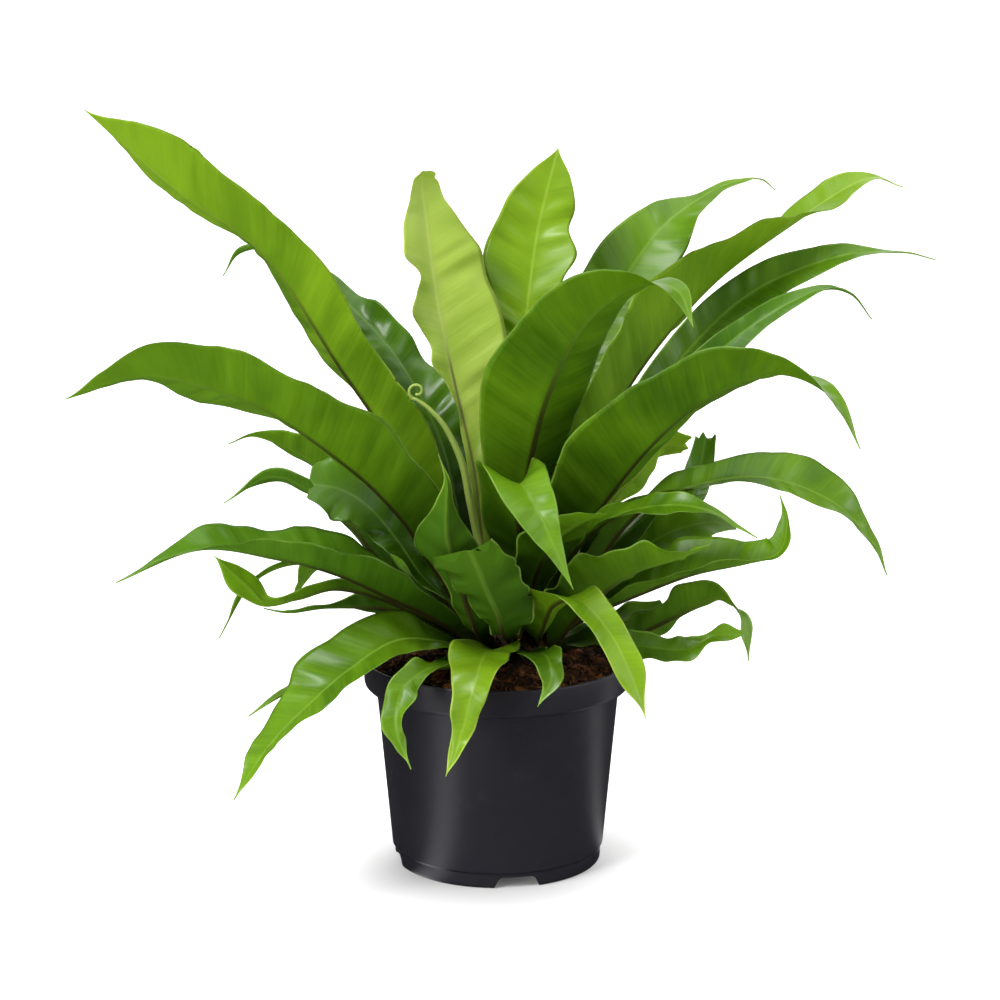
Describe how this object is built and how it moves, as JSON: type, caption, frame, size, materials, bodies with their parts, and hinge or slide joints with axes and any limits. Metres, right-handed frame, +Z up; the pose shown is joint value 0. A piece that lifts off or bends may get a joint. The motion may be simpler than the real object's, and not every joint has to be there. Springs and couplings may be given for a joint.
{
  "type": "potted fern",
  "caption": "Bird's-nest fern with long strap-shaped, wavy-edged arching fronds in a round tapered plastic nursery pot.",
  "frame": {"origin": "middle of the pot's base, on the ground", "axes": "+Z up, the front of the plant faces -Y, +X to the right as seen from the front"},
  "size_m": [0.5476, 0.3683, 0.4702],
  "materials": {
    "pot_plastic": "satin charcoal moulded plastic",
    "potting_mix": "moist crumbly coir mix",
    "crown_scales": "dark scaly rootstock",
    "frond": "semi-gloss living leaf",
    "young_frond": "semi-gloss young leaf"
  },
  "bodies": {
    "root": {"pot": "pot_plastic", "potting_soil": "potting_mix", "crown": "crown_scales", "frond_far_left_tall": "frond", "frond_left_back_glossy": "frond", "frond_left_arching": "frond", "frond_left_short_curled": "frond", "frond_left_glossy_droop": "frond", "frond_left_small_dark": "frond", "frond_left_long_low": "frond", "frond_left_twisted": "frond", "frond_left_thin": "frond", "frond_left_thin_grey": "frond", "frond_front_left_droop": "frond", "frond_front_left_behind": "frond", "frond_over_rim_left": "frond", "frond_over_rim_front": "frond", "frond_over_rim_small": "frond", "frond_front_right_droop": "frond", "frond_front_curl_over": "frond", "frond_upright_pale": "young_frond", "frond_upright_glossy": "frond", "frond_centre_big": "frond", "frond_right_long_up": "frond", "frond_right_back_up": "frond", "frond_right_slim_upper": "frond", "frond_right_slim_lower": "frond", "frond_right_inner_low": "frond", "frond_right_big": "frond", "frond_right_arching": "frond", "frond_right_thin_front": "frond", "frond_right_broad_hidden": "frond", "frond_front_right_trough": "frond", "frond_right_upcurled": "frond", "frond_right_low_waisted": "frond", "frond_right_lowest": "frond", "frond_right_round_behind": "frond", "frond_right_dark_lobed": "frond", "frond_right_light_lobed": "frond", "frond_front_left_collar": "frond", "frond_front_centre_low": "frond", "frond_front_right_wavy": "frond", "frond_back_left_arching": "frond", "frond_back_right_arching": "frond", "frond_back_low_left": "frond", "frond_back_low_middle": "frond", "frond_back_low_right": "frond", "crozier": "young_frond"}
  },
  "joints": []
}
